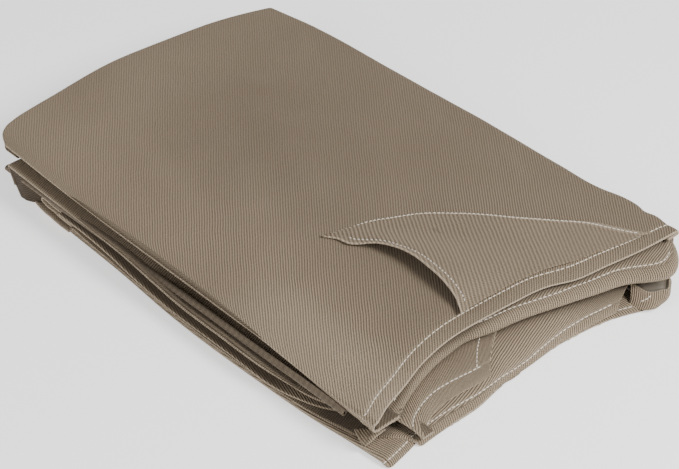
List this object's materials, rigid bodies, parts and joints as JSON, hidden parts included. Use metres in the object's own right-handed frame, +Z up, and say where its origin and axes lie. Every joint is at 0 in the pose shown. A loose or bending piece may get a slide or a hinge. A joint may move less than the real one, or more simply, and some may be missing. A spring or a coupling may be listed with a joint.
{
  "type": "folded grill cover",
  "caption": "Fabric grill cover folded flat for storage: stacked cloth leaves with stitched hems and a raised triangular vent hood on top.",
  "frame": {"origin": "centre of the folded pack's underside", "axes": "+X along the pack to its hemmed end, +Y across it from the opening edge of the top leaf to the far fold, +Z up"},
  "size_m": [0.412, 0.278, 0.0459],
  "materials": {
    "cover_cloth": "ribbed taupe polyester, matt",
    "hem_cloth": "doubled taupe polyester hem, matt",
    "hood_cloth": "ribbed taupe polyester cut on the bias, matt",
    "coated_side": "smooth coated inner side, satin",
    "thread": "pale polyester thread",
    "mesh": "dark open polyester mesh",
    "webbing": "woven strap",
    "hook_tape": "hook tape",
    "loop_tape": "brushed loop tape",
    "label": "blank satin label"
  },
  "bodies": {
    "base_pack": {"back_panel": "cover_cloth", "back_panel_hem": "hem_cloth", "back_hem_thread": "thread", "side_panel_left": "coated_side", "side_panel_left_hem": "hem_cloth", "left_hem_thread": "thread", "top_panel": "cover_cloth", "back_panel_return": "cover_cloth", "back_panel_return_hem": "hem_cloth", "return_hem_thread": "thread", "back_panel_inner_roll": "cover_cloth", "end_wrap": "cover_cloth", "closure_strap_left": "webbing", "closure_strap_right": "webbing", "strap_left_hook_patch": "hook_tape", "strap_right_hook_patch": "hook_tape", "strap_left_loop_patch": "loop_tape", "strap_right_loop_patch": "loop_tape", "care_label": "label"},
    "middle_leaf": {"side_panel_right": "cover_cloth", "side_panel_right_roll": "cover_cloth", "side_panel_right_hem": "hem_cloth", "right_hem_thread": "thread", "front_panel_inner_roll": "cover_cloth"},
    "top_leaf": {"front_panel": "cover_cloth", "front_panel_hem": "hem_cloth", "front_hem_thread": "thread", "vent_mesh": "mesh", "vent_hood": "hood_cloth", "vent_seam_thread": "thread"},
    "hood_lip": {"vent_hood_lip": "hood_cloth", "vent_lip_hem": "hood_cloth", "vent_lip_thread": "thread"}
  },
  "joints": [
    {"name": "middle_leaf_unfold", "type": "hinge", "parent": "base_pack", "child": "middle_leaf", "pos_m": [-0.19, 0.1305, 0.0127], "axis": [-1, 0, -0.0017], "range_deg": [0, 100]},
    {"name": "top_leaf_unfold", "type": "hinge", "parent": "middle_leaf", "child": "top_leaf", "pos_m": [-0.19, -0.136, 0.02316], "axis": [0.9999, 0, -0.0151], "range_deg": [0, 105]},
    {"name": "vent_lip_lift", "type": "hinge", "parent": "top_leaf", "child": "hood_lip", "pos_m": [0.118, 0.012, 0.03532], "axis": [-1, 0, 0], "range_deg": [0, 14]}
  ]
}
